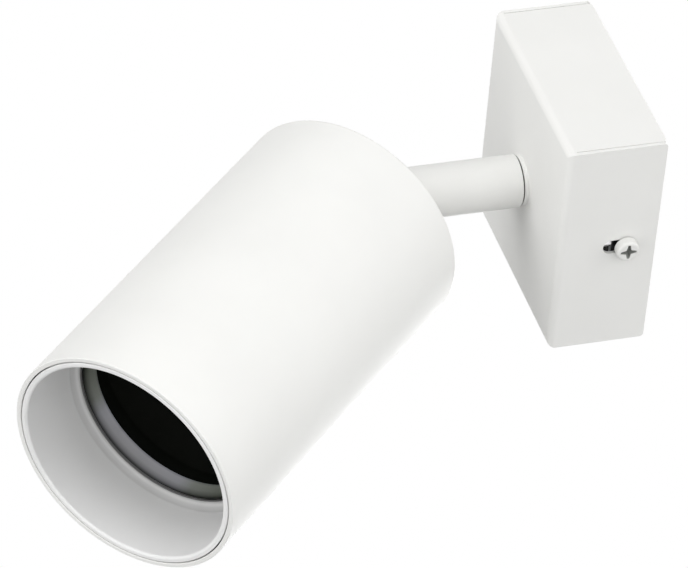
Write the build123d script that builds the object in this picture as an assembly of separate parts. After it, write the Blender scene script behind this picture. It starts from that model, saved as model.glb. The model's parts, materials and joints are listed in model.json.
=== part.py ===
"""Surface mounted ceiling spotlight: square ceiling box, round arm and tilting tube head.

Millimetres, +Z up. The origin is the centre of the ceiling face, so the whole lamp hangs below z = 0.
The box is square to X and Y. The arm is swivelled about Z and the head tilted about the knuckle's axis
by the two rest angles below. Pieces of the head are drawn hanging straight down and placed last.
"""
import os
from math import asin, cos, degrees, radians, sin, tan

from build123d import *

os.makedirs("parts", exist_ok=True)

# ---------------------------------------------------------------- clearances
seat_clearance = 0.05      # radial, pieces screwed or pushed together that do not turn
running_clearance = 0.08   # radial, a shaft that turns or slides in its hole
slip_gap = 0.05            # axial, between flat faces that turn on each other
seat_face_gap = 0.3        # between neighbours that only stand close
past = 1.0                 # how far a cut runs past the face it leaves by
through = 20.0             # reach of cuts and halving blocks that go right through

# ---------------------------------------------------------------- pose at rest
rest_swivel = 6.5          # degrees, arm about Z
rest_tilt = 42.5           # degrees, head away from straight down, towards -Y
tilt_limit = 90.0          # degrees, head from straight down to level

# ---------------------------------------------------------------- ceiling box
box_side = 60.0
box_depth = 25.0
box_sheet = 1.0
bend_radius = 2.0          # outside of the folds
corner_slit = 0.2          # open seam where two flaps meet
flap_corner_radius = 1.0   # free corners of the flaps
flap_slot_width = 4.0
flap_slot_travel = 3.7     # between the slot's end centres

# ---------------------------------------------------------------- mounting bracket
bracket_sheet = 1.5
strap_width = 20.0
lug_width = 12.0
lug_margin = 3.2           # lug below the side screw's axis
lug_boss_radius = 3.1
lug_boss_length = 2.5
fixing_spacing = 36.0
fixing_slot_width = 4.4
fixing_slot_length = 9.0
cable_hole_radius = 7.0
earth_ear_reach = 17.0     # from the centre, towards -X
earth_ear_width = 10.0
earth_screw_offset = 13.0
earth_screw_head_radius = 3.2
earth_screw_head_height = 1.9
earth_tag_radius = 3.4
earth_tag_sheet = 0.8
earth_barrel_offset = 7.0
earth_barrel_wall = 0.55
earth_barrel_length = 4.0
earth_barrel_drop = 0.2    # top of the barrel below the bracket
earth_tail_width = 3.0
earth_tail_lap = 0.5       # tail under the barrel

# ---------------------------------------------------------------- side screws
side_screw_drop = 7.9      # axis below the ceiling
side_screw_radius = 1.75
side_screw_head_radius = 2.9
side_screw_head_height = 2.4
side_screw_length = 7.5
side_screw_standoff = 0.5  # head clear of the box
screw_head_round = 0.3     # of the head's height
recess_share = 0.74        # across the arms, of the head's diameter
recess_root = 0.65         # inner corners, from the middle
recess_tip = 0.6           # width of the arms' ends
recess_floor = 0.4         # floor's size against the mouth's
recess_depth = 1.4

# ---------------------------------------------------------------- terminal block
pole_count = 3
pole_pitch = 5.5
block_length = 17.0        # along Y, from wire mouth to wire mouth
block_height = 12.0
block_wall_gap = 1.0       # between the block's far face and the box's wall, along X
pole_tube_width = 3.8
pole_tube_height = 4.6
pole_end_wall = 2.0        # block beyond the tubes' ends
pole_bore_radius = 1.3
block_mouth_radius = 1.6
clamp_screw_radius = 1.1
clamp_screw_spread = 7.0   # between the two screws of one pole
clamp_screw_sunk = 0.6     # below the block's face
clamp_screw_bite = 0.3     # into the tube's bore
clamp_way_radius = 1.5
clamp_slot_width = 0.5
clamp_slot_depth = 0.5
groove_width = 0.8         # between the poles
groove_depth = 2.0
block_peg_radius = 1.4
block_peg_spread = 8.5     # between the two pegs, along Y

# ---------------------------------------------------------------- arm and swivel
nipple_radius = 4.95
nipple_bore = 3.5
nipple_grip = 6.6          # length inside the arm
collar_radius = 6.4
collar_height = 1.0
collar_sleeve = 0.5        # wall of the sleeve in the box's hole
black_washer_radius = 6.0
black_washer_height = 0.4
inner_washer_height = 0.6
inner_washer_radius = 8.0
stop_washer_height = 1.0
stop_washer_radius = 7.4
stop_tongue_reach = 10.6
stop_tongue_width = 3.0
stop_peg_radius = 1.0
stop_peg_offset = 9.0
spring_washer_height = 1.5
spring_washer_radius = 7.6
spring_washer_split = 1.4
spring_split_slant = 25.0  # degrees
swivel_nut_height = 3.0
swivel_nut_flats = 14.0
nipple_proud = 1.0
arm_radius = 6.7
arm_bore = 4.2
arm_edge = 0.2
pivot_reach = 38.5         # from the box's face to the tilt axis

# ---------------------------------------------------------------- hollow knuckle
knuckle_shoulder = 7.1     # from the tilt axis to the full round stem
knuckle_edge = 0.6
knuckle_joint = 10.0       # from the tilt axis to the end of the arm tube
spigot_grip = 6.0          # knuckle's spigot inside the arm tube
friction_washer_height = 0.5
friction_washer_radius = 6.4
pivot_radius = 4.0         # hollow pivot, outside
pivot_bore = 2.7
pocket_radius = 5.3
pocket_depth = 2.5         # from the drum's end
wave_washer_height = 0.7
wave_washer_radius = 5.1
pivot_nut_height = 1.2
pivot_nut_radius = 5.05
spanner_slot = 1.2
cover_height = 0.6
arm_cover_radius = 4.3
window_start = 0.7         # along the tilt axis
window_end = 3.9
window_gap = 0.5           # beside the lead, at both ends of the tilt
arm_way_offset = 3.4       # lead's way in the arm's half, out from the middle along the tilt axis
arm_way_top = 11.5         # where it starts to slant, above the tilt axis
arm_way_low = 5.6          # where it runs straight down again
head_way_offset = 2.3      # the same in the head's half
head_way_high = 6.6        # below the tilt axis
head_way_low = 12.3
way_gap = 0.35             # drilled way beyond the lead's radius

# ---------------------------------------------------------------- head
head_length = 100.0
rear_gap = 10.3            # from the tilt axis to the rear face
head_wall = 2.0
rear_wall = 2.5
rear_edge_round = 0.8
mouth_edge = 0.15
mouth_wall = 1.15          # round the baffle
head_stud_radius = 4.95
head_washer_height = 0.8
head_washer_radius = 8.5
head_washer_teeth = 8
head_washer_notch = 1.4    # width of the gaps between teeth
head_washer_notch_depth = 0.8
head_nut_height = 3.0
head_nut_flats = 14.0
head_stud_proud = 1.0

# ---------------------------------------------------------------- baffle
baffle_gap = 0.3           # radial, between the baffle and the mouth
baffle_wall = 1.45
baffle_curl = 1.85         # radius of the curl into the lip
baffle_lip_gap = 0.45      # radial, between the lip and the lamp
baffle_length = 20.2
baffle_lip_height = 0.8
guide_start = 11.0
guide_length = 5.0
rim_round = 0.25           # outer edge of the front
mouth_round = 0.65         # inner edge of the front

# ---------------------------------------------------------------- lamp
lamp_depth = 19.6          # lamp's rim behind the front of the head
lamp_radius = 24.8
lamp_rim = 0.35
bezel_depth = 4.4
bezel_band = 1.1           # width of the satin rim
bezel_height = 6.4
lens_height = 1.6
lamp_length = 47.5         # rim to the face the pins stand on
lamp_wall = 1.5
lamp_waist_radius = 13.0
lamp_waist = 34.0          # from the rim
lamp_base_radius = 11.0
lamp_base_height = 9.0
lamp_base_flat = 8.8       # from the axis to each flat
lamp_base_edge = 0.8
lamp_twist = 30.0          # degrees, anticlockwise from the front to release
pin_offset = 5.0
pin_neck_radius = 1.3
pin_head_radius = 2.45
pin_head_height = 3.6
pin_length = 7.3

# ---------------------------------------------------------------- lampholder
holder_radius = 13.5
holder_height = 17.0
holder_lip = 3.0
holder_cavity = 5.6
holder_floor = 2.5         # between the pins' chambers and the wire hole
holder_edge = 0.8
pin_play = 0.4             # round the pins, in the keyhole and the chamber
entry_play = 0.6           # round the pins' heads, in the keyhole's entry
holder_screw_offset = 9.8
holder_screw_radius = 1.4
holder_screw_head_radius = 2.5
holder_screw_head_height = 1.6
holder_screw_sink = 3.0
holder_screw_play = 0.2    # round shank and head
holder_screw_proud = 1.0
holder_wire_hole = 3.0
contact_height = 0.8
contact_side = 3.6
holder_bracket_sheet = 1.0
holder_bracket_width = 10.0
holder_leg_offset = 14.6
holder_foot_margin = 3.0   # foot beyond the screw's axis

# ---------------------------------------------------------------- leads
core_radius = 0.8
core_spread = 1.05
core_rise = 4.0            # lowest core, above the sheath's end
core_lane = 2.0            # between neighbouring cores where they run side by side
core_lane_start = 2.4      # nearest lane, out from the block's face
core_turn = 6.3            # where the cores reach their lanes, along X
core_grip = 1.2            # inside the terminal's mouth
link_bow = 4.0             # earth link, out from the block's face
link_grip = 3.0            # inside the tag's barrel
lead_radius = 1.2
bend_share = 0.45          # of a run between two bends, taken up by each
lead_straight = 0.5        # kept straight at the sheathed lead's ends
lead_gap_above_nipple = 0.4
holder_lead_grip = 4.0     # inside the lampholder's wire hole

# ---------------------------------------------------------------- places worked out from the sizes
half_side = box_side / 2
inner_half = half_side - box_sheet
box_face = -box_depth
plate_inside = box_face + box_sheet
pivot_z = box_face - pivot_reach
arm_top = box_face - collar_height - black_washer_height
arm_end = pivot_z + knuckle_joint
pocket_floor = arm_radius - pocket_depth    # from the joint plane
nut_seat = plate_inside + inner_washer_height + stop_washer_height + spring_washer_height
nipple_top = nut_seat + swivel_nut_height + nipple_proud
lead_meeting_z = nipple_top + lead_gap_above_nipple
bezel_throat = lamp_radius - bezel_band
baffle_lip = lamp_radius + baffle_lip_gap
baffle_mouth = baffle_lip + baffle_curl
baffle_radius = baffle_mouth + baffle_wall
mouth_bore = baffle_radius + baffle_gap
head_radius = mouth_bore + mouth_wall
rear_face = -rear_gap                       # in the head's own frame, hanging straight down
front_face = rear_face - head_length
rear_inside = rear_face - rear_wall
side_screw_z = -side_screw_drop
block_start = inner_half - block_wall_gap - pole_count * pole_pitch
block_low = -bracket_sheet - block_height
pole_z = -bracket_sheet - block_height / 2
pole_tube_length = block_length - 2 * pole_end_wall
lamp_rim_z = front_face + lamp_depth
lamp_end_z = lamp_rim_z + lamp_length
holder_front = lamp_end_z + seat_face_gap
holder_rear = holder_front + holder_height
chamber_floor = holder_front + holder_lip + holder_cavity
bracket_inside = rear_inside - holder_bracket_sheet
stud_end = bracket_inside - head_washer_height - head_nut_height - head_stud_proud

arm_place = Rot(0, 0, rest_swivel)
knuckle_place = arm_place * Pos(0, 0, pivot_z)
head_place = knuckle_place * Rot(-rest_tilt, 0, 0)


# ---------------------------------------------------------------- small helpers
def rod(radius, low, high):
    """A cylinder about Z between two heights."""
    return Pos(0, 0, low) * Cylinder(radius, high - low, align=(Align.CENTER, Align.CENTER, Align.MIN))


def ring(outer, inner, low, high):
    """A plain ring about Z."""
    return rod(outer, low, high) - rod(inner, low - past, high + past)


def slab(x_span, y_span, z_span):
    """A box given by its three spans."""
    corner = Pos(x_span[0], y_span[0], z_span[0])
    size = (x_span[1] - x_span[0], y_span[1] - y_span[0], z_span[1] - z_span[0])
    return corner * Box(*size, align=(Align.MIN, Align.MIN, Align.MIN))


def turned(*points):
    """A solid of revolution about Z from (radius, height) points."""
    outline = make_face(Plane.XZ * Polyline(*points, close=True))
    return revolve(outline, axis=Axis.Z)


def on_tilt_axis(shape):
    """Turns a piece drawn about Z so that it lies about X."""
    return Rot(0, 90, 0) * shape


def facing_y(shape, side):
    """Turns a piece drawn pointing up so that it points along -Y (side -1) or +Y (side 1)."""
    return Rot(-90 * side, 0, 0) * shape


def cross_recess(span):
    """A four-armed recess that narrows from its mouth at z = 0 down to its floor."""
    arm = [(span / 2, -recess_tip / 2), (span / 2, recess_tip / 2), (recess_root, recess_root)]
    corners = [Vector(*corner).rotate(Axis.Z, turn) for turn in (0, 90, 180, 270) for corner in arm]
    mouth = make_face(Polyline(*corners, close=True))
    return extrude(mouth, past) + loft([mouth, Pos(0, 0, -recess_depth) * scale(mouth, recess_floor)])


def pan_screw(radius, length, head_radius, head_height):
    """A cross-recess screw: head above z = 0, shank below."""
    head = rod(head_radius, 0, head_height)
    head = fillet(head.edges().group_by(Axis.Z)[-1], head_height * screw_head_round)
    recess = cross_recess(2 * head_radius * recess_share)
    return head + rod(radius, -length, 0) - Pos(0, 0, head_height) * recess


def hex_nut(flats, bore, low, high):
    """A hexagon nut about Z with chamfered corners."""
    height = high - low
    body = Pos(0, 0, low) * extrude(RegularPolygon(flats / 2, 6, major_radius=False), height)
    corner_radius = flats / 2 / cos(radians(30))
    drop = (corner_radius - flats / 2) * tan(radians(30))
    cone = turned((0, low), (flats / 2, low), (corner_radius, low + drop),
                  (corner_radius, high - drop), (flats / 2, high), (0, high))
    return (body & cone) - rod(bore, low - past, high + past)


def drilled_way(radius, *points):
    """A passage of round drillings from point to point."""
    way = None
    for start, end in zip(points, points[1:]):
        run = Vector(*end) - Vector(*start)
        drilling = Plane(origin=start, z_dir=run) * Cylinder(
            radius, run.length, align=(Align.CENTER, Align.CENTER, Align.MIN))
        way = drilling if way is None else way + drilling
        way += Pos(*start) * Sphere(radius)
    return way + Pos(*points[-1]) * Sphere(radius)


def lead(radius, points, start_straight, end_straight):
    """A round lead along straight runs joined by tangent arcs, each as large as its two runs allow."""
    runs = [Vector(*end) - Vector(*start) for start, end in zip(points, points[1:])]
    bends = []
    for corner in range(1, len(runs)):
        before, after = runs[corner - 1], runs[corner]
        free_before = before.length - start_straight if corner == 1 else before.length * bend_share
        free_after = after.length - end_straight if corner == len(runs) - 1 else after.length * bend_share
        turn = radians(before.get_angle(after))
        bends.append(min(free_before, free_after) / tan(turn / 2))
    path = FilletPolyline(*points, radius=bends)
    return sweep(Plane(origin=path @ 0, z_dir=path % 0) * Circle(radius), path=path)


def core_start(index):
    """Where one of the three cores leaves the sheath, above the nipple."""
    angle = radians(90 + 360 * index / pole_count)
    return core_spread * cos(angle), core_spread * sin(angle)


# ---------------------------------------------------------------- ceiling box pieces
def corner_waste():
    """What the rounding takes off a flap's free corner, with the corner at the origin."""
    reach = (box_sheet + corner_slit) / 2
    waste = slab((-flap_corner_radius, past), (-reach, reach), (-flap_corner_radius, past))
    round_edge = Rot(90, 0, 0) * Cylinder(flap_corner_radius, 4 * reach)
    return waste - Pos(-flap_corner_radius, 0, -flap_corner_radius) * round_edge


def canopy_box():
    """Folded sheet box: front plate, four flaps, open seams at the corners and two screw slots."""
    outer = slab((-half_side, half_side), (-half_side, half_side), (box_face, 0))
    outer = fillet(outer.edges().group_by(Axis.Z)[0], bend_radius)
    inner = slab((-inner_half, inner_half), (-inner_half, inner_half), (plate_inside, past))
    inner = fillet(inner.edges().group_by(Axis.Z)[0], bend_radius - box_sheet)
    box = outer - inner
    for x_side in (-1, 1):
        for y_side in (-1, 1):
            x_span = sorted((x_side * (inner_half - box_sheet), x_side * (half_side + past)))
            y_span = sorted((y_side * (inner_half - corner_slit), y_side * inner_half))
            box -= slab(x_span, y_span, (box_face + bend_radius, past))
    for y_side in (-1, 1):
        slot = Pos(0, y_side * half_side, side_screw_z - flap_slot_travel / 2) * Rot(90, 0, 0) * extrude(
            SlotCenterToCenter(flap_slot_travel, flap_slot_width, rotation=90), 2 * box_sheet, both=True)
        box -= slot
    for quarter in range(4):
        flap_half = half_side if quarter % 2 == 0 else inner_half - corner_slit
        for side in (-1, 1):
            corner = Pos(side * flap_half, half_side - box_sheet / 2, 0) * Rot(0, 0, 90 - 90 * side)
            box -= Rot(0, 0, 90 * quarter) * corner * corner_waste()
    box -= rod(nipple_radius + running_clearance + collar_sleeve + seat_clearance,
               box_face - past, 0)
    peg = Pos(0, stop_peg_offset, 0) * rod(stop_peg_radius, plate_inside,
                                           plate_inside + inner_washer_height + stop_washer_height)
    return box + peg


def mounting_bracket():
    """Strap that is screwed to the ceiling, with a lug at each end for the side screws."""
    strap = slab((-strap_width / 2, strap_width / 2), (-inner_half, inner_half), (-bracket_sheet, 0))
    strap += slab((-earth_ear_reach, 0), (-earth_ear_width / 2, earth_ear_width / 2), (-bracket_sheet, 0))
    strap += slab((0, block_start + pole_count * pole_pitch), (-block_length / 2, block_length / 2),
                  (-bracket_sheet, 0))
    for side in (-1, 1):
        lug_y = sorted((side * inner_half, side * (inner_half - bracket_sheet)))
        strap += slab((-lug_width / 2, lug_width / 2), lug_y, (side_screw_z - lug_margin, 0))
        boss = facing_y(rod(lug_boss_radius, 0, lug_boss_length), -side)
        strap += Pos(0, side * (inner_half - bracket_sheet), side_screw_z) * boss
        drilling = facing_y(rod(side_screw_radius + seat_clearance, -through, through), side)
        strap -= Pos(0, side * inner_half, side_screw_z) * drilling
        slot = extrude(SlotOverall(fixing_slot_length, fixing_slot_width, rotation=90), through, both=True)
        strap -= Pos(0, side * fixing_spacing / 2, 0) * slot
        peg_hole = rod(block_peg_radius + seat_clearance, -through, through)
        strap -= Pos(block_start + pole_pitch, side * block_peg_spread / 2, 0) * peg_hole
    strap -= rod(cable_hole_radius, -through, through)
    strap -= Pos(-earth_screw_offset, 0, 0) * rod(side_screw_radius + seat_clearance, -through, through)
    return strap


def side_screws():
    """The two screws that hold the box to the bracket's lugs."""
    screw = pan_screw(side_screw_radius, side_screw_length, side_screw_head_radius, side_screw_head_height)
    seat = half_side + side_screw_standoff
    return Compound(children=[Pos(0, side * seat, side_screw_z) * facing_y(screw, side) for side in (-1, 1)])


def stem_collar():
    """White bush in the box's hole: a flange outside and a short sleeve through the plate."""
    bore = nipple_radius + running_clearance
    return turned((bore, box_face - collar_height), (collar_radius, box_face - collar_height),
                  (collar_radius, box_face), (bore + collar_sleeve, box_face),
                  (bore + collar_sleeve, plate_inside), (bore, plate_inside))


def pole_x(index):
    """Middle of one pole of the terminal block."""
    return block_start + pole_pitch * (index + 0.5)


def terminal_block():
    """Three-pole block hung under the bracket on two pegs."""
    end = block_start + pole_count * pole_pitch
    body = slab((block_start, end), (-block_length / 2, block_length / 2), (block_low, -bracket_sheet))
    for index in range(pole_count):
        half_width = pole_tube_width / 2 + seat_clearance
        body -= Pos(pole_x(index), 0, pole_z) * Box(2 * half_width, pole_tube_length + 2 * seat_clearance,
                                                    pole_tube_height + 2 * seat_clearance)
        body -= Pos(pole_x(index), 0, pole_z) * Rot(90, 0, 0) * Cylinder(block_mouth_radius,
                                                                         block_length + 2 * past)
        for side in (-1, 1):
            body -= Pos(pole_x(index), side * clamp_screw_spread / 2, 0) * rod(
                clamp_way_radius, block_low - past, pole_z)
    for index in range(1, pole_count):
        groove = Box(groove_width, block_length + 2 * past, 2 * groove_depth)
        body -= Pos(block_start + pole_pitch * index, 0, block_low) * groove
    for side in (-1, 1):
        body += Pos(block_start + pole_pitch, side * block_peg_spread / 2, 0) * rod(
            block_peg_radius, -bracket_sheet - past, 0)
    return body


def terminal_tubes():
    """Brass clamping bodies, one to a pole."""
    tubes = []
    for index in range(pole_count):
        tube = Pos(pole_x(index), 0, pole_z) * Box(pole_tube_width, pole_tube_length, pole_tube_height)
        tube -= Pos(pole_x(index), 0, pole_z) * Rot(90, 0, 0) * Cylinder(pole_bore_radius,
                                                                         pole_tube_length + 2 * past)
        for side in (-1, 1):
            tube -= Pos(pole_x(index), side * clamp_screw_spread / 2, 0) * rod(
                clamp_screw_radius + seat_clearance, pole_z - pole_tube_height, pole_z)
        tubes.append(tube)
    return Compound(children=tubes)


def terminal_screws():
    """Clamp screws, two to a pole, slotted, reached from below."""
    screws = []
    low = block_low + clamp_screw_sunk
    for index in range(pole_count):
        for side in (-1, 1):
            screw = rod(clamp_screw_radius, low, pole_z - pole_bore_radius + clamp_screw_bite)
            screw -= Pos(0, 0, low) * Box(2 * clamp_way_radius, clamp_slot_width, 2 * clamp_slot_depth)
            screws.append(Pos(pole_x(index), side * clamp_screw_spread / 2, 0) * screw)
    return Compound(children=screws)


def earth_screw():
    """Earth screw in the bracket's ear, head below."""
    length = bracket_sheet + earth_tag_sheet - seat_face_gap
    screw = Rot(180, 0, 0) * pan_screw(side_screw_radius, length, earth_screw_head_radius,
                                       earth_screw_head_height)
    return Pos(-earth_screw_offset, 0, -bracket_sheet - earth_tag_sheet) * screw


def earth_barrel_z():
    """Height of the crimp barrel's axis: its wall sits in the tag's tail."""
    return -bracket_sheet - core_radius - earth_barrel_wall - earth_barrel_drop


def earth_tag():
    """Ring tag under the earth screw, with its crimp barrel."""
    tag_top = -bracket_sheet
    tag = rod(earth_tag_radius, tag_top - earth_tag_sheet, tag_top)
    barrel_start = earth_barrel_offset - earth_barrel_length / 2
    tag += slab((-earth_tail_width / 2, earth_tail_width / 2), (0, barrel_start + earth_tail_lap),
                (tag_top - earth_tag_sheet, tag_top))
    barrel = Cylinder(core_radius + earth_barrel_wall, earth_barrel_length)
    barrel -= Cylinder(core_radius + seat_clearance, earth_barrel_length + 2 * past)
    tag += Pos(0, earth_barrel_offset, earth_barrel_z()) * Rot(90, 0, 0) * barrel
    tag -= rod(side_screw_radius + seat_clearance, tag_top - earth_tag_sheet - past, 0)
    return Pos(-earth_screw_offset, 0, 0) * tag


def core_route(index):
    """One core's corners, from the sheath's end round the side of the block into its own mouth."""
    start_x, start_y = core_start(index)
    mouth_y = -block_length / 2
    rise_z = lead_meeting_z + core_rise + core_lane * (pole_count - 1 - index)
    lane_y = mouth_y - core_lane_start - core_lane * index
    return [(start_x, start_y, lead_meeting_z), (start_x, start_y, rise_z),
            (core_turn, lane_y, rise_z), (pole_x(index) - core_lane, lane_y, pole_z),
            (pole_x(index), lane_y + core_lane, pole_z), (pole_x(index), mouth_y + core_grip, pole_z)]


def earth_route():
    """Corners of the link from the middle pole's other mouth to the earth tag."""
    pole = pole_x(1)
    bow_y = block_length / 2 + link_bow
    barrel_end = earth_barrel_offset + earth_barrel_length / 2
    return [(pole, block_length / 2 - core_grip, pole_z), (pole, bow_y, pole_z),
            (-earth_screw_offset, bow_y, earth_barrel_z()),
            (-earth_screw_offset, barrel_end - link_grip, earth_barrel_z())]


# ---------------------------------------------------------------- swivel pieces, turning with the arm
def black_washer():
    """Nylon washer between the collar and the arm."""
    return arm_place * ring(black_washer_radius, nipple_radius + seat_clearance,
                            arm_top, arm_top + black_washer_height - slip_gap)


def inner_washer():
    """Nylon washer inside the box."""
    return arm_place * ring(inner_washer_radius, nipple_radius + seat_clearance,
                            plate_inside + slip_gap, plate_inside + inner_washer_height)


def stop_washer():
    """Steel washer with the tongue that meets the box's peg at the end of the swivel."""
    low = plate_inside + inner_washer_height
    high = low + stop_washer_height
    washer = ring(stop_washer_radius, nipple_radius + seat_clearance, low, high)
    tongue = slab((-stop_tongue_width / 2, stop_tongue_width / 2),
                  (-stop_tongue_reach, -nipple_radius - past), (low, high))
    return arm_place * (washer + tongue)


def spring_washer():
    """Split washer under the swivel nut."""
    low = nut_seat - spring_washer_height
    washer = ring(spring_washer_radius, nipple_radius + seat_clearance, low, nut_seat)
    split = Rot(0, spring_split_slant, 0) * Box(spring_washer_split, spring_washer_radius,
                                                spring_washer_height + 2 * past)
    return arm_place * (washer - Pos(0, spring_washer_radius, (low + nut_seat) / 2) * split)


def swivel_nut():
    """Nut on the hollow nipple."""
    return arm_place * hex_nut(swivel_nut_flats, nipple_radius + seat_clearance, nut_seat,
                               nut_seat + swivel_nut_height)


def hollow_nipple():
    """Threaded tube that joins the arm to the box."""
    return arm_place * ring(nipple_radius, nipple_bore, arm_top - nipple_grip, nipple_top)


def arm_tube():
    """The round arm, bored for the lead and opened at the top for the nipple."""
    tube = rod(arm_radius, arm_end, arm_top) - rod(arm_bore, arm_end - past, arm_top + past)
    tube -= rod(nipple_radius + seat_clearance, arm_top - nipple_grip, arm_top + past)
    tube = chamfer(tube.edges().group_by(Axis.Z)[-1].sort_by(SortBy.LENGTH)[-1], arm_edge)
    return arm_place * tube


# ---------------------------------------------------------------- hollow knuckle
joint_half = friction_washer_height / 2


def knuckle_half(side, stem_end):
    """One half of the knuckle about X at the origin, its stem pointing up: drum, stem and full round."""
    start = joint_half + (slip_gap if side > 0 else 0)
    drum = rod(arm_radius, start, arm_radius)
    drum = on_tilt_axis(fillet(drum.edges().group_by(Axis.Z)[-1], knuckle_edge))
    stem = rod(arm_radius, 0, knuckle_shoulder + past)
    stem = stem & slab((start, through), (-through, through), (0, through))
    full = rod(arm_radius, knuckle_shoulder, stem_end)
    half = drum + stem
    if side < 0:
        half = mirror(half, about=Plane.YZ)
    return half + full


def arm_way():
    """Corners of the lead's way in the arm's half, from the arm down to the tilt axis."""
    return ((0, 0, knuckle_joint + spigot_grip + past), (0, 0, arm_way_top),
            (-arm_way_offset, 0, arm_way_low), (-arm_way_offset, 0, 0), (0, 0, 0))


def head_way(end):
    """Corners of the lead's way in the head's half, from the tilt axis down the stud."""
    return ((0, 0, 0), (head_way_offset, 0, 0), (head_way_offset, 0, -head_way_high),
            (0, 0, -head_way_low), (0, 0, end))


def arm_knuckle():
    """The arm's half: drum, hollow pivot with its window, and the spigot in the arm tube."""
    half = knuckle_half(-1, knuckle_joint)
    half += rod(arm_bore - seat_clearance, knuckle_joint, knuckle_joint + spigot_grip)
    pivot_end = pocket_floor + wave_washer_height + pivot_nut_height + slip_gap
    half += on_tilt_axis(rod(pivot_radius, -joint_half, pivot_end))
    half -= on_tilt_axis(rod(pivot_bore, -arm_radius - past, pivot_end + past))
    half -= on_tilt_axis(rod(arm_cover_radius + seat_clearance, -arm_radius - past, -arm_radius + cover_height))
    half -= drilled_way(lead_radius + way_gap, *arm_way()[:-1])
    inside, outside = pivot_bore - past, pivot_radius + past
    window = make_face(Plane.XZ * Polyline((window_start, inside), (window_end, inside), (window_end, outside),
                                           (window_start, outside), close=True))
    margin = degrees(asin((lead_radius + window_gap) / pivot_radius))
    window = Rot(180 - tilt_limit - margin, 0, 0) * revolve(window, axis=Axis.X,
                                                           revolution_arc=tilt_limit + 2 * margin)
    return knuckle_place * (half - window)


def head_knuckle():
    """The head's half: drum round the pivot, nut pocket, and the threaded stud through the rear wall."""
    half = Rot(180, 0, 0) * knuckle_half(1, rear_gap)
    half += rod(head_stud_radius, stud_end, rear_face)
    half -= on_tilt_axis(rod(pivot_radius + running_clearance, -past, arm_radius + past))
    half -= on_tilt_axis(rod(pocket_radius, pocket_floor, arm_radius + past))
    half -= drilled_way(lead_radius + way_gap, *head_way(stud_end - past)[1:])
    return head_place * half


def tilt_washer():
    """Friction washer between the two drums."""
    washer = ring(friction_washer_radius, pivot_radius + seat_clearance, -joint_half, joint_half)
    return knuckle_place * on_tilt_axis(washer)


def wave_washer():
    """Spring washer in the head half's pocket."""
    low = pocket_floor + slip_gap
    washer = ring(wave_washer_radius, pivot_radius + seat_clearance, low, low + wave_washer_height)
    return knuckle_place * on_tilt_axis(washer)


def pivot_nut():
    """Round nut with two spanner slots, on the end of the hollow pivot."""
    low = pocket_floor + slip_gap + wave_washer_height
    nut = ring(pivot_nut_radius, pivot_radius + seat_clearance, low, low + pivot_nut_height)
    nut -= Pos(0, 0, low + pivot_nut_height) * Box(spanner_slot, 2 * pocket_radius, pivot_nut_height)
    return knuckle_place * on_tilt_axis(nut)


def arm_cover():
    """Cap over the arm half's drum."""
    cap = rod(arm_cover_radius, -arm_radius, -arm_radius + cover_height)
    return knuckle_place * on_tilt_axis(cap)


def head_cover():
    """Cap over the nut pocket."""
    nut_end = pocket_floor + slip_gap + wave_washer_height + pivot_nut_height
    cap = rod(pocket_radius - seat_clearance, nut_end + slip_gap, arm_radius)
    return head_place * on_tilt_axis(cap)


# ---------------------------------------------------------------- head pieces
def head_shell():
    """Tube and rear wall in one, opened at the front for the baffle."""
    shell = rod(head_radius, front_face, rear_face)
    shell = fillet(shell.edges().group_by(Axis.Z)[-1], rear_edge_round)
    shell -= rod(head_radius - head_wall, front_face - past, rear_inside)
    shell -= rod(mouth_bore, front_face - past, front_face + baffle_length + slip_gap)
    shell -= rod(head_stud_radius + seat_clearance, rear_inside - past, rear_face + past)
    mouth_edges = shell.edges().group_by(Axis.Z)[0]
    shell = chamfer(mouth_edges, mouth_edge)
    return head_place * shell


def holder_bracket():
    """Strap under the stud's nut, with two legs that carry the lampholder."""
    half_width = holder_bracket_width / 2
    outside = holder_leg_offset + holder_bracket_sheet
    base = slab((-half_width, half_width), (-outside, outside), (bracket_inside, rear_inside))
    for side in (-1, 1):
        leg_y = sorted((side * holder_leg_offset, side * outside))
        base += slab((-half_width, half_width), leg_y, (holder_rear, rear_inside))
        foot_y = sorted((side * (holder_screw_offset - holder_foot_margin), side * outside))
        foot = slab((-half_width, half_width), foot_y, (holder_rear, holder_rear + holder_bracket_sheet))
        hole = rod(holder_screw_radius + seat_clearance, holder_rear - past,
                   holder_rear + holder_bracket_sheet + past)
        base += foot
        base -= Pos(0, side * holder_screw_offset, 0) * hole
    base += rod(head_washer_radius, bracket_inside, rear_inside)
    base -= rod(head_stud_radius + seat_clearance, bracket_inside - past, rear_inside + past)
    return head_place * base


def head_washer():
    """Toothed washer under the stud's nut."""
    low = bracket_inside - head_washer_height
    washer = ring(head_washer_radius, head_stud_radius + seat_clearance, low, bracket_inside)
    notch = Box(2 * head_washer_notch_depth, head_washer_notch, 2 * (head_washer_height + past))
    for index in range(head_washer_teeth):
        washer -= Rot(0, 0, 360 * index / head_washer_teeth) * Pos(head_washer_radius, 0, low) * notch
    return head_place * washer


def head_nut():
    """Nut that holds the knuckle's stud in the rear wall."""
    high = bracket_inside - head_washer_height
    return head_place * hex_nut(head_nut_flats, head_stud_radius + seat_clearance,
                                high - head_nut_height, high)


def pin_arc(radius, low, high):
    """The way of one pin as the lamp turns: a round hole drawn out along an arc."""
    swing = CenterArc((0, 0), pin_offset, -lamp_twist, lamp_twist)
    return Pos(0, 0, low) * extrude(SlotArc(swing, 2 * radius), high - low)


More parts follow.
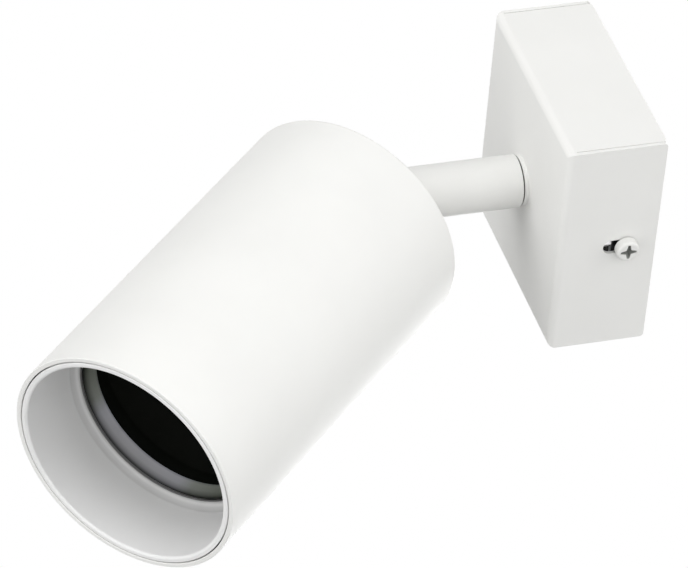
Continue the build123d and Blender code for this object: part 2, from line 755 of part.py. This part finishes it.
def lampholder():
    """Ceramic twist-lock holder: keyhole slots in the face, a chamber behind for the pins' heads."""
    body = rod(holder_radius, holder_front, holder_rear)
    body = chamfer(body.edges().group_by(Axis.Z)[0], holder_edge)
    chamber_front = holder_front + holder_lip
    for turn in (0, 180):
        pocket = pin_arc(pin_head_radius + pin_play, chamber_front, chamber_floor)
        keyhole = pin_arc(pin_neck_radius + pin_play, holder_front - past, chamber_front + past)
        release = Rot(0, 0, -lamp_twist) * Pos(pin_offset, 0, 0) * rod(
            pin_head_radius + entry_play, holder_front - past, chamber_front + past)
        body -= Rot(0, 0, turn) * (pocket + keyhole + release)
    for side in (-1, 1):
        screw_hole = rod(holder_screw_radius + holder_screw_play, holder_front - past, holder_rear + past)
        sink = rod(holder_screw_head_radius + holder_screw_play, holder_front - past,
                   holder_front + holder_screw_sink)
        body -= Pos(0, side * holder_screw_offset, 0) * (screw_hole + sink)
    body -= rod(holder_wire_hole, chamber_floor + holder_floor, holder_rear + past)
    return head_place * body


def holder_screws():
    """Two screws through the lampholder into the bracket's feet."""
    seat = holder_front + holder_screw_sink
    length = holder_rear + holder_bracket_sheet + holder_screw_proud - seat
    screw = Rot(180, 0, 0) * pan_screw(holder_screw_radius, length, holder_screw_head_radius,
                                       holder_screw_head_height)
    return Compound(children=[head_place * Pos(0, side * holder_screw_offset, seat) * screw
                              for side in (-1, 1)])


def holder_contacts():
    """Contact plates on the floor of each pin's chamber."""
    contacts = []
    for turn in (0, 180):
        plate = Pos(pin_offset, 0, chamber_floor - contact_height / 2) * Box(contact_side, contact_side,
                                                                             contact_height)
        contacts.append(head_place * Rot(0, 0, turn) * plate)
    return Compound(children=contacts)


# ---------------------------------------------------------------- baffle
def baffle_ring():
    """White ring in the mouth: straight bore, end curled in to the lip, guide collar outside."""
    front = front_face
    end = front_face + baffle_length
    lip_face = end - baffle_lip_height
    curl_start = lip_face - baffle_curl
    guide = mouth_bore - running_clearance
    guide_low = front + guide_start
    guide_high = guide_low + guide_length
    step = guide - baffle_radius
    outline = [
        Line((baffle_mouth, curl_start), (baffle_mouth, front)),
        Line((baffle_mouth, front), (baffle_radius, front)),
        Polyline((baffle_radius, front), (baffle_radius, guide_low), (guide, guide_low + step),
                 (guide, guide_high - step), (baffle_radius, guide_high), (baffle_radius, end),
                 (baffle_lip, end), (baffle_lip, lip_face)),
        CenterArc((baffle_lip, curl_start), baffle_curl, 0, 90),
    ]
    body = revolve(make_face(Plane.XZ * Wire([edge for piece in outline for edge in piece.edges()])),
                   axis=Axis.Z)
    body = fillet(body.edges().group_by(Axis.Z)[0].sort_by(SortBy.RADIUS)[-1:], rim_round)
    body = fillet(body.edges().group_by(Axis.Z)[0].sort_by(SortBy.RADIUS)[:1], mouth_round)
    return head_place * body


# ---------------------------------------------------------------- lamp
def lamp_bezel():
    """Satin ring round the lamp's recessed face."""
    low = lamp_rim_z
    throat = low + bezel_depth
    end = low + bezel_height
    return head_place * turned(
        (lamp_radius - lamp_rim, low), (lamp_radius, low + lamp_rim), (lamp_radius, end),
        (lamp_radius - lamp_wall, end), (lamp_radius - lamp_wall, throat + lens_height),
        (bezel_throat, throat + lens_height), (bezel_throat, throat))


def lamp_lens():
    """Dark front disc of the lamp, set back behind the bezel."""
    throat = lamp_rim_z + bezel_depth
    return head_place * rod(bezel_throat - seat_clearance, throat, throat + lens_height)


def lamp_body():
    """Lamp housing: a cup that narrows to the waist and the base."""
    low = lamp_rim_z + bezel_height
    waist = lamp_rim_z + lamp_waist
    end = lamp_end_z - lamp_base_height
    return head_place * turned(
        (lamp_radius, low), (lamp_waist_radius, waist), (lamp_base_radius, end),
        (0, end), (0, end - lamp_wall), (lamp_base_radius - lamp_wall, end - lamp_wall),
        (lamp_waist_radius - lamp_wall, waist), (lamp_radius - lamp_wall, low))


def lamp_base():
    """Base of the lamp, with its flanks cut flat."""
    low = lamp_end_z - lamp_base_height
    base = rod(lamp_base_radius, low, lamp_end_z)
    base = base & slab((-through, through), (-lamp_base_flat, lamp_base_flat), (low, lamp_end_z))
    return head_place * chamfer(base.edges().group_by(Axis.Z)[-1], lamp_base_edge)


def lamp_pins():
    """Two headed pins of the lamp."""
    pins = []
    for side in (-1, 1):
        pin = rod(pin_neck_radius, lamp_end_z, lamp_end_z + pin_length - pin_head_height)
        pin += rod(pin_head_radius, lamp_end_z + pin_length - pin_head_height, lamp_end_z + pin_length)
        pins.append(head_place * Pos(side * pin_offset, 0, 0) * pin)
    return Compound(children=pins)


# ---------------------------------------------------------------- leads of the arm and head
def arm_lead():
    """Sheathed lead from the box down to the tilt axis."""
    corners = [(0, 0, lead_meeting_z - pivot_z)] + list(arm_way()[1:])
    return knuckle_place * lead(lead_radius, corners, lead_straight, lead_straight)


def head_lead():
    """The same lead from the tilt axis to the back of the lampholder."""
    way = head_way(holder_rear - holder_lead_grip)
    return head_place * lead(lead_radius, way, lead_straight, lead_straight)


core_names = ("neutral_core", "earth_core", "live_core")
pieces = {
    "canopy_box": canopy_box(),
    "mounting_bracket": mounting_bracket(),
    "side_screws": side_screws(),
    "stem_collar": stem_collar(),
    "terminal_block": terminal_block(),
    "terminal_tubes": terminal_tubes(),
    "terminal_screws": terminal_screws(),
    "earth_screw": earth_screw(),
    "earth_tag": earth_tag(),
    "black_washer": black_washer(),
    "inner_washer": inner_washer(),
    "stop_washer": stop_washer(),
    "spring_washer": spring_washer(),
    "swivel_nut": swivel_nut(),
    "hollow_nipple": hollow_nipple(),
    "arm_tube": arm_tube(),
    "arm_knuckle": arm_knuckle(),
    "tilt_washer": tilt_washer(),
    "wave_washer": wave_washer(),
    "pivot_nut": pivot_nut(),
    "arm_cover": arm_cover(),
    "head_cover": head_cover(),
    "head_knuckle": head_knuckle(),
    "head_shell": head_shell(),
    "holder_bracket": holder_bracket(),
    "head_washer": head_washer(),
    "head_nut": head_nut(),
    "lampholder": lampholder(),
    "holder_screws": holder_screws(),
    "holder_contacts": holder_contacts(),
    "baffle_ring": baffle_ring(),
    "lamp_bezel": lamp_bezel(),
    "lamp_lens": lamp_lens(),
    "lamp_body": lamp_body(),
    "lamp_base": lamp_base(),
    "lamp_pins": lamp_pins(),
    "arm_lead": arm_lead(),
    "head_lead": head_lead(),
}
for index, name in enumerate(core_names):
    pieces[name] = lead(core_radius, core_route(index), lead_straight, core_grip)
pieces["earth_link"] = lead(core_radius, earth_route(), core_grip, link_grip)

for name, shape in pieces.items():
    export_step(shape, f"parts/{name}.step")
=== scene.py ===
"""Looks of the surface mounted ceiling spotlight: finishes, small details, floor, light and camera.

The scene is in metres in the part's own frame: origin at the centre of the ceiling face, +Z up.
Sizes of the part itself are written in mm and multiplied by MM where they are used.
"""
import json
import math

import bmesh
import bpy
from mathutils import Euler, Matrix, Vector


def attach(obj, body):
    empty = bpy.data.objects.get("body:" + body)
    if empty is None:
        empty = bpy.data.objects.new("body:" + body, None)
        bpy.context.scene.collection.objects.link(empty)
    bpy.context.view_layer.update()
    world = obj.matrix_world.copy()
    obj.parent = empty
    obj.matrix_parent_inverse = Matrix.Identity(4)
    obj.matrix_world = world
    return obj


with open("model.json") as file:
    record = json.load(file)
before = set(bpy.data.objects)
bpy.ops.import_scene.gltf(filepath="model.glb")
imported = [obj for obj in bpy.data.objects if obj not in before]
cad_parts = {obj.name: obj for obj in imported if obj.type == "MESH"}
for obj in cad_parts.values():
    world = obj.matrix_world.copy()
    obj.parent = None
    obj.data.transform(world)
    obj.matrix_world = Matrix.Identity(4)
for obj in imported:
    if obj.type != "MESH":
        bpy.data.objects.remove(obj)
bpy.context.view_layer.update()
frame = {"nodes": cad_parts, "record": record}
nodes = frame["nodes"]

MM = 0.001

# ---------------------------------------------------------------- sizes shared with the solids, in mm
REST_SWIVEL = 6.5            # degrees
REST_TILT = 42.5             # degrees
PIVOT_Z = -63.5
FRONT = -110.3               # front of the head in its own frame, hanging straight down from the pivot
BAFFLE_LENGTH = 20.2
LAMP_DEPTH = 19.6            # lamp's rim behind the front of the head
BEZEL_DEPTH = 4.4            # lens behind the lamp's rim
HALF_INSIDE = 29.0           # inside faces of the box's sides
LUG_END = -11.1              # lower ends of the bracket's lugs
SLOT_END = -13.6             # lower ends of the slots in the box's flaps
SIDE_SCREW_Z = -7.9
SCREW_FACE = 32.9            # outer faces of the side screws, either way along Y
RECESS_REACH = 2.17          # cross recess, from the screw's axis

HEAD_PLACE = (Matrix.Rotation(math.radians(REST_SWIVEL), 4, "Z")
              @ Matrix.Translation((0, 0, PIVOT_Z * MM))
              @ Matrix.Rotation(math.radians(-REST_TILT), 4, "X"))

# ---------------------------------------------------------------- where painted shade and painted reflection change, in mm
PAINTED_SHEEN_SIDE = (0.91, 0.41, 0.0)   # across the head, one of the two sides of the bezel with a painted violet reflection
RECESS_TOP = 0.03            # below the screw's face: the painted shade in the recess starts
RECESS_DARK = 0.25           # below the screw's face: the painted shade in the recess is darkest
RECESS_EDGE = 0.02           # beyond the recess: the screw has its own tone again
LUG_CLEAR = 0.25             # behind the flap: where the painted shade on the lug starts
LUG_DARK = 0.05              # behind the flap: the painted shade on the lug is darkest
TONGUE_BRIGHT = -0.5         # along X: where the painted shade on the tongue starts
TONGUE_DARK = 1.3            # along X: the painted shade on the tongue is darkest

# ---------------------------------------------------------------- rolled tongues of the lugs, in mm
TONGUE_START = -5.0          # flat part, along X
TONGUE_FLAT = -0.2           # where the roll starts, along X
TONGUE_FLAT_STEPS = 4
TONGUE_ROLL = 1.6            # radius of the roll
TONGUE_ROLL_STEPS = 9
TONGUE_ROLL_STEP = 10        # degrees
TONGUE_SHEET = 0.8
TONGUE_GAP = 0.15            # behind the flap
TONGUE_OVERLAP = 0.6         # above the lug's lower end
TONGUE_TIP = ((0.6, 0.0), (-0.1, 0.25), (-0.5, 0.9))   # height from the slot's end, draw-in along X

# ---------------------------------------------------------------- finish grain
PEEL_HEIGHT = 0.06 * MM      # orange peel of the powder coat
PEEL_STRENGTH = 0.25
BRUSH_SCALE = 420.0
BRUSH_HEIGHT = 0.03 * MM
BRUSH_STRENGTH = 0.2
MOULD_GRAIN = 700.0
MOULD_HEIGHT = 0.04 * MM
STRIPE_SCALE = 150.0         # two-coloured insulation
STRIPE_WIDTH = 0.36          # share of the surface
STRIPE_EDGE = 0.04           # soft edge, either way

# ---------------------------------------------------------------- floor, light and camera, in metres
WORLD_LIGHT = 0.32
FLOOR_Z = -2.4
FLOOR_REACH = 60.0
FLOOR_NEAR = 1.0             # from the middle, where the far lift starts
FLOOR_FAR = 6.0
FLOOR_LIFT_NEAR = 0.50       # added where the floor is seen, its shadow stays
FLOOR_LIFT_FAR = 0.78
LAMPS = (                    # name, place, size, power in watts
    ("top_left", (-0.7, -0.5, 1.3), 1.4, 11.2),
    ("under_left", (-1.0, 0.2, -0.9), 1.3, 12.0),
    ("near_camera", (-0.88, -1.24, -0.02), 1.4, 9.6),
    ("screw_side", (0.01, -1.4, 0.30), 0.9, 1.7),
    ("mouth_side", (0.10, -0.92, -1.0), 0.9, 1.5),
    ("below", (-0.25, -0.55, -1.35), 1.2, 3.4),
    ("behind", (1.1, 0.9, 0.75), 0.8, 8.0),
)
LAMP_TARGET = (0, -0.03, -0.07)
CAMERA_PLACE = (-0.724440, -0.879598, -0.375337)
CAMERA_TURN = (153.764743, -73.409933, -103.259731)   # degrees
CAMERA_LENS = 251.607558     # mm
CAMERA_SENSOR = 36.0         # mm across
CAMERA_NEAR = 0.05
CAMERA_FAR = 30.0


# ---------------------------------------------------------------- node helpers
def new_material(name):
    material = bpy.data.materials.new(name)
    material.use_nodes = True
    tree = material.node_tree
    return material, tree, tree.nodes["Principled BSDF"]


def link(tree, source, target):
    tree.links.new(source, target)


def feed(tree, value, socket):
    """Links another node's output to a socket, or writes a fixed value on it."""
    if isinstance(value, bpy.types.NodeSocket):
        link(tree, value, socket)
    else:
        socket.default_value = value


def vector_math(tree, operation, vector, other=None):
    node = tree.nodes.new("ShaderNodeVectorMath")
    node.operation = operation
    link(tree, vector, node.inputs[0])
    if other is not None:
        feed(tree, other, node.inputs[1])
    return node.outputs["Value" if operation in ("LENGTH", "DOT_PRODUCT") else "Vector"]


def number_math(tree, operation, value, other=None):
    node = tree.nodes.new("ShaderNodeMath")
    node.operation = operation
    link(tree, value, node.inputs[0])
    if other is not None:
        feed(tree, other, node.inputs[1])
    return node.outputs["Value"]


def place_coordinates(tree, matrix=None):
    """Object coordinates, which are the part's frame, or a frame turned and moved within it."""
    output = tree.nodes.new("ShaderNodeTexCoord").outputs["Object"]
    if matrix is None:
        return output
    inverse = matrix.inverted()
    mapping = tree.nodes.new("ShaderNodeMapping")
    mapping.vector_type = "POINT"
    mapping.inputs["Location"].default_value = inverse.to_translation()
    mapping.inputs["Rotation"].default_value = inverse.to_euler("XYZ")
    link(tree, output, mapping.inputs["Vector"])
    return mapping.outputs["Vector"]


def noise(tree, vector, scale, detail=4.0, roughness=0.55):
    node = tree.nodes.new("ShaderNodeTexNoise")
    node.inputs["Scale"].default_value = scale
    node.inputs["Detail"].default_value = detail
    node.inputs["Roughness"].default_value = roughness
    link(tree, vector, node.inputs["Vector"])
    return node.outputs["Fac"]


def ramp(tree, value, *stops):
    """Colour by value; each stop is a position with a colour, or with one number for a grey."""
    node = tree.nodes.new("ShaderNodeValToRGB")
    elements = node.color_ramp.elements
    while len(elements) < len(stops):
        elements.new(0.5)
    for element, (position, colour) in zip(elements, stops):
        element.position = position
        element.color = (*colour, 1.0) if isinstance(colour, tuple) else (colour, colour, colour, 1.0)
    link(tree, value, node.inputs["Fac"])
    return node.outputs["Color"]


def to_range(tree, value, low, high, from_low=0.0, from_high=1.0):
    node = tree.nodes.new("ShaderNodeMapRange")
    node.inputs["From Min"].default_value = from_low
    node.inputs["From Max"].default_value = from_high
    node.inputs["To Min"].default_value = low
    node.inputs["To Max"].default_value = high
    link(tree, value, node.inputs["Value"])
    return node.outputs["Result"]


def bump(tree, shader, height, strength, distance):
    node = tree.nodes.new("ShaderNodeBump")
    node.inputs["Strength"].default_value = strength
    node.inputs["Distance"].default_value = distance
    link(tree, height, node.inputs["Height"])
    link(tree, node.outputs["Normal"], shader.inputs["Normal"])


def along(tree, vector, axis, start, end):
    """0 to 1 from start to end, in mm, along one axis of a frame's coordinates."""
    split = tree.nodes.new("ShaderNodeSeparateXYZ")
    link(tree, vector, split.inputs["Vector"])
    return to_range(tree, split.outputs[axis], 0.0, 1.0, start * MM, end * MM)


def from_axis(tree, vector, centre, keep, start, end):
    """0 to 1 between two distances, in mm, from the axis that keep leaves out."""
    moved = vector_math(tree, "SUBTRACT", vector, Vector(centre) * MM)
    reach = vector_math(tree, "LENGTH", vector_math(tree, "MULTIPLY", moved, keep))
    return to_range(tree, reach, 0.0, 1.0, start * MM, end * MM)


def cloudy_tone(tree, shader, vector, colour, spread, scale):
    """Base colour with slow, faint changes of tone."""
    dark = tuple(min(1.0, channel * (1.0 - spread)) for channel in colour)
    tone = ramp(tree, noise(tree, vector, scale, 3.0), (0.3, dark), (0.7, colour))
    link(tree, tone, shader.inputs["Base Color"])


def tint(tree, colour):
    """Multiplies the base colour by another colour over the surface."""
    target = tree.nodes["Principled BSDF"].inputs["Base Color"]
    base = target.links[0].from_socket
    mix = tree.nodes.new("ShaderNodeMix")
    mix.data_type = "RGBA"
    mix.blend_type = "MULTIPLY"
    mix.inputs["Factor"].default_value = 1.0
    link(tree, base, mix.inputs["A"])
    link(tree, colour, mix.inputs["B"])
    link(tree, mix.outputs["Result"], target)


# ---------------------------------------------------------------- finishes
def painted(name, colour, roughness=0.5, grain=900.0):
    """Powder coat: a fine orange peel with slow, faint changes of tone."""
    material, tree, shader = new_material(name)
    vector = place_coordinates(tree)
    cloudy_tone(tree, shader, vector, colour, 0.03, 38.0)
    fine = noise(tree, vector, grain, 5.0, 0.6)
    link(tree, to_range(tree, fine, roughness - 0.05, roughness + 0.08), shader.inputs["Roughness"])
    shader.inputs["Specular IOR Level"].default_value = 0.35
    bump(tree, shader, fine, PEEL_STRENGTH, PEEL_HEIGHT)
    return material


def metal(name, colour, roughness, brushed=(1.0, 1.0, 1.0), spread=0.12):
    """Plated or bare metal: fine lines along the axis with the smallest of the three stretches."""
    material, tree, shader = new_material(name)
    vector = place_coordinates(tree)
    mapping = tree.nodes.new("ShaderNodeMapping")
    mapping.inputs["Scale"].default_value = brushed
    link(tree, vector, mapping.inputs["Vector"])
    lines = noise(tree, mapping.outputs["Vector"], BRUSH_SCALE, 6.0, 0.65)
    cloudy_tone(tree, shader, vector, colour, spread, 95.0)
    shader.inputs["Metallic"].default_value = 1.0
    link(tree, to_range(tree, lines, roughness - 0.06, roughness + 0.1), shader.inputs["Roughness"])
    bump(tree, shader, lines, BRUSH_STRENGTH, BRUSH_HEIGHT)
    return material


def plastic(name, colour, roughness=0.4, strength=0.2, specular=0.5):
    """Moulded plastic, woven sleeve, glass and glaze: a fine grain of the given strength."""
    material, tree, shader = new_material(name)
    vector = place_coordinates(tree)
    cloudy_tone(tree, shader, vector, colour, 0.05, 70.0)
    fine = noise(tree, vector, MOULD_GRAIN, 4.0)
    link(tree, to_range(tree, fine, roughness - 0.05, roughness + 0.07), shader.inputs["Roughness"])
    shader.inputs["Specular IOR Level"].default_value = specular
    bump(tree, shader, fine, strength, MOULD_HEIGHT)
    return material


def striped_plastic(name, colour, stripe):
    """Two-coloured insulation: slanting stripes over the ground colour."""
    material = plastic(name, colour)
    tree = material.node_tree
    wave = tree.nodes.new("ShaderNodeTexWave")
    wave.bands_direction = "DIAGONAL"
    wave.inputs["Scale"].default_value = STRIPE_SCALE
    wave.inputs["Distortion"].default_value = 0.6
    link(tree, place_coordinates(tree), wave.inputs["Vector"])
    edge = 1.0 - STRIPE_WIDTH
    tone = ramp(tree, wave.outputs["Fac"], (edge - STRIPE_EDGE, colour), (edge + STRIPE_EDGE, stripe))
    link(tree, tone, tree.nodes["Principled BSDF"].inputs["Base Color"])
    return material


finishes = {
    "painted_white": painted("white_powder_coat", (0.82, 0.82, 0.80)),
    "painted_screw": painted("white_screw_paint", (0.78, 0.78, 0.76), roughness=0.35, grain=1600.0),
    "baffle_white": painted("white_baffle_coat", (0.82, 0.82, 0.815), roughness=0.55),
    "zinc_steel": metal("zinc_plate", (0.60, 0.61, 0.64), 0.32, brushed=(1.0, 0.12, 1.0), spread=0.24),
    "brass": metal("bare_brass", (0.72, 0.54, 0.24), 0.3),
    "nickel_pins": metal("nickel_plate", (0.72, 0.70, 0.66), 0.2),
    "black_nylon": plastic("black_nylon", (0.012, 0.012, 0.012), 0.45),
    "terminal_plastic": plastic("dark_terminal_plastic", (0.02, 0.02, 0.02), 0.55, specular=0.1),
    "blue_insulation": plastic("blue_insulation", (0.04, 0.14, 0.52)),
    "brown_insulation": plastic("brown_insulation", (0.20, 0.085, 0.035)),
    "green_insulation": striped_plastic("green_yellow_insulation", (0.12, 0.36, 0.05), (0.74, 0.62, 0.05)),
    "lead_sheath": plastic("woven_sleeve", (0.74, 0.73, 0.68), 0.7),
    "ceramic_white": plastic("glazed_ceramic", (0.82, 0.79, 0.72), 0.18),
    "satin_grey": plastic("satin_grey_rim", (0.56, 0.56, 0.585), 0.34),
    "dark_glass": plastic("dark_lamp_face", (0.0015, 0.002, 0.0012), 0.12, strength=0.0, specular=0.02),
    "lamp_housing": plastic("lamp_housing", (0.74, 0.74, 0.72), 0.45),
}


def paint_baffle_shade_and_highlight():
    """Painted shade on the baffle: the wall stays pale, the curl turned towards the lamp is painted darker,
    with a painted highlight near its edge.
    """
    tree = finishes["baffle_white"].node_tree
    depth = along(tree, place_coordinates(tree, HEAD_PLACE), "Z", FRONT, FRONT + BAFFLE_LENGTH)
    tint(tree, ramp(tree, depth, (0.0, 1.0), (0.866, 0.97), (0.888, 0.68), (0.935, 0.62), (0.955, 0.76),
                    (0.966, 0.30)))


def paint_bezel_shade_and_sheen():
    """Painted shade, darkest at the front rim and lighter towards the lens; painted reflection, violet on
    two sides and olive between them.
    """
    tree = finishes["satin_grey"].node_tree
    place = place_coordinates(tree, HEAD_PLACE)
    depth = along(tree, place, "Z", FRONT + LAMP_DEPTH, FRONT + LAMP_DEPTH + BEZEL_DEPTH)
    tint(tree, ramp(tree, depth, (0.0, 0.06), (0.08, 0.14), (0.22, 0.46), (0.5, 0.86), (0.86, 1.0),
                    (1.0, (0.66, 0.68, 0.72))))
    outwards = vector_math(tree, "NORMALIZE", vector_math(tree, "MULTIPLY", place, (1, 1, 0)))
    side = number_math(tree, "ABSOLUTE", vector_math(tree, "DOT_PRODUCT", outwards, PAINTED_SHEEN_SIDE))
    tint(tree, ramp(tree, side, (0.45, (0.38, 0.41, 0.33)), (0.76, (0.60, 0.63, 0.55)),
                    (0.86, (0.95, 0.96, 0.98)), (1.0, 1.0)))


def paint_recess_shade():
    """Painted shade: the cross recess of both side screws is painted dark below the head's face."""
    tree = finishes["painted_screw"].node_tree
    place = place_coordinates(tree)
    reach = from_axis(tree, place, (0, 0, SIDE_SCREW_Z), (1, 0, 1), RECESS_REACH, RECESS_REACH + RECESS_EDGE)
    depth = along(tree, vector_math(tree, "ABSOLUTE", place), "Y",
                  SCREW_FACE - RECESS_DARK, SCREW_FACE - RECESS_TOP)
    outside = number_math(tree, "MAXIMUM", reach, depth)
    tint(tree, ramp(tree, outside, (0.0, (0.26, 0.27, 0.26)), (1.0, 1.0)))


def paint_lug_shade():
    """Painted shade: the outer faces of both lugs, in the gap behind the box's flaps, are painted dark."""
    tree = finishes["zinc_steel"].node_tree
    lug_shade_mask = along(tree, vector_math(tree, "ABSOLUTE", place_coordinates(tree)), "Y",
                      HALF_INSIDE - LUG_CLEAR, HALF_INSIDE - LUG_DARK)
    tint(tree, ramp(tree, lug_shade_mask, (0.0, 1.0), (1.0, 0.05)))


# Painted shade, painted highlights and painted reflections on the baffle, bezel, screw recesses and lugs.
paint_baffle_shade_and_highlight()
paint_bezel_shade_and_sheen()
paint_recess_shade()
paint_lug_shade()
for part in frame["record"]["subparts"]:
    node = nodes[part["node"]]
    node.data.materials.clear()
    node.data.materials.append(finishes[part["material_slot"]])


# ---------------------------------------------------------------- small pieces
def swept_piece(name, outline, path):
    """A solid with one closed outline carried along a path; each path entry places an outline point."""
    mesh = bpy.data.meshes.new(name)
    shape = bmesh.new()
    rings = [[shape.verts.new(place(point)) for point in outline] for place in path]
    count = len(outline)
    for first, second in zip(rings, rings[1:]):
        for i in range(count):
            j = (i + 1) % count
            shape.faces.new((first[i], first[j], second[j], second[i]))
    shape.faces.new(list(reversed(rings[0])))
    shape.faces.new(rings[-1])
    bmesh.ops.recalc_face_normals(shape, faces=shape.faces)
    shape.to_mesh(mesh)
    shape.free()
    for polygon in mesh.polygons:
        polygon.use_smooth = True
    piece = bpy.data.objects.new(name, mesh)
    bpy.context.scene.collection.objects.link(piece)
    return piece


def tongue_zinc_with_painted_shade():
    """Zinc of the tongues, bright on the flat, with painted shade where the roll turns away."""
    material = metal("tongue_zinc_painted_shade", (0.93, 0.93, 0.93), 0.24, spread=0.04)
    tree = material.node_tree
    tongue_shade_mask = along(tree, place_coordinates(tree), "X", TONGUE_BRIGHT, TONGUE_DARK)
    tint(tree, ramp(tree, tongue_shade_mask, (0.0, 1.0), (0.3, 0.8), (0.65, 0.2), (1.0, 0.03)))
    return material


def rolled_tongue(name, side, tongue_material):
    """Tongue at the end of a bracket's lug, rolled inwards; its back shows through the flap's slot."""
    turns = [math.radians(TONGUE_ROLL_STEP * i) for i in range(1, TONGUE_ROLL_STEPS + 1)]
    angles = [0.0] * (TONGUE_FLAT_STEPS + 1) + turns
    outside = [(TONGUE_START + (TONGUE_FLAT - TONGUE_START) * i / TONGUE_FLAT_STEPS, 0.0)
               for i in range(TONGUE_FLAT_STEPS + 1)]
    outside += [(TONGUE_FLAT + TONGUE_ROLL * math.sin(a), TONGUE_ROLL * (1 - math.cos(a))) for a in turns]
    inside = [(x - TONGUE_SHEET * math.sin(a), d + TONGUE_SHEET * math.cos(a))
              for (x, d), a in zip(reversed(outside), reversed(angles))]

    def ring(z, inset):
        def place(point):
            x, depth = point
            return Vector((x - inset, side * (HALF_INSIDE - TONGUE_GAP - depth), z)) * MM
        return place

    path = [ring(LUG_END + TONGUE_OVERLAP, 0.0), ring(LUG_END, 0.0)]
    path += [ring(SLOT_END + height, inset) for height, inset in TONGUE_TIP]
    piece = swept_piece(name, outside + inside, path)
    piece.data.materials.append(tongue_material)
    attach(piece, "ceiling_box")


# The tongues' zinc carries painted shade where the roll turns away.
tongue_shaded_zinc = tongue_zinc_with_painted_shade()
rolled_tongue("lug_tongue_front", -1, tongue_shaded_zinc)
rolled_tongue("lug_tongue_back", 1, tongue_shaded_zinc)


# ---------------------------------------------------------------- floor, light and camera
def seen_rays(tree):
    """1 on rays that show the surroundings: to the camera, in gloss and through clear pieces."""
    rays = tree.nodes.new("ShaderNodeLightPath").outputs
    return number_math(tree, "MAXIMUM",
                       number_math(tree, "MAXIMUM", rays["Is Camera Ray"], rays["Is Glossy Ray"]),
                       rays["Is Transmission Ray"])


def studio_floor():
    """Pale floor that keeps the object's shadow and is lifted to white where it is seen."""
    mesh = bpy.data.meshes.new("floor")
    sheet = bmesh.new()
    bmesh.ops.create_grid(sheet, x_segments=2, y_segments=2, size=FLOOR_REACH)
    sheet.to_mesh(mesh)
    sheet.free()
    floor = bpy.data.objects.new("floor", mesh)
    floor.location = (0, 0, FLOOR_Z)
    bpy.context.scene.collection.objects.link(floor)
    material, tree, shader = new_material("pale_floor")
    vector = place_coordinates(tree)
    tone = ramp(tree, noise(tree, vector, 3.0), (0.3, 0.80), (0.7, 0.83))
    link(tree, tone, shader.inputs["Base Color"])
    shader.inputs["Roughness"].default_value = 0.8
    shader.inputs["Emission Color"].default_value = (1, 1, 1, 1)
    far = from_axis(tree, vector, (0, 0, 0), (1, 1, 0), FLOOR_NEAR / MM, FLOOR_FAR / MM)
    lift = to_range(tree, far, FLOOR_LIFT_NEAR, FLOOR_LIFT_FAR)
    link(tree, number_math(tree, "MULTIPLY", lift, seen_rays(tree)), shader.inputs["Emission Strength"])
    mesh.materials.append(material)


def studio_world():
    """Even pale light; white where the camera, a glossy or a clear surface sees it."""
    world = bpy.data.worlds.new("studio")
    bpy.context.scene.world = world
    world.use_nodes = True
    tree = world.node_tree
    tree.nodes.clear()
    mix = tree.nodes.new("ShaderNodeMixShader")
    link(tree, seen_rays(tree), mix.inputs["Fac"])
    for socket, strength in ((1, WORLD_LIGHT), (2, 1.0)):
        light = tree.nodes.new("ShaderNodeBackground")
        light.inputs["Color"].default_value = (1, 1, 1, 1)
        light.inputs["Strength"].default_value = strength
        link(tree, light.outputs["Background"], mix.inputs[socket])
    output = tree.nodes.new("ShaderNodeOutputWorld")
    link(tree, mix.outputs["Shader"], output.inputs["Surface"])


def area_lamp(name, place, size, power):
    lamp = bpy.data.lights.new(name, "AREA")
    lamp.shape = "SQUARE"
    lamp.size = size
    lamp.energy = power
    holder = bpy.data.objects.new(name, lamp)
    holder.location = place
    holder.rotation_euler = (Vector(LAMP_TARGET) - Vector(place)).to_track_quat("-Z", "Y").to_euler()
    holder.visible_camera = False
    bpy.context.scene.collection.objects.link(holder)


def photo_camera():
    """Camera from which the photo was taken, by a perspective fit."""
    data = bpy.data.cameras.new("photo_camera")
    data.sensor_fit = "HORIZONTAL"
    data.sensor_width = CAMERA_SENSOR
    data.lens = CAMERA_LENS
    data.clip_start = CAMERA_NEAR
    data.clip_end = CAMERA_FAR
    camera = bpy.data.objects.new("photo_camera", data)
    camera.location = CAMERA_PLACE
    camera.rotation_euler = Euler([math.radians(angle) for angle in CAMERA_TURN], "XYZ")
    bpy.context.scene.collection.objects.link(camera)
    bpy.context.scene.camera = camera


studio_floor()
studio_world()
for lamp_values in LAMPS:
    area_lamp(*lamp_values)
photo_camera()
bpy.context.scene.view_settings.view_transform = "Standard"
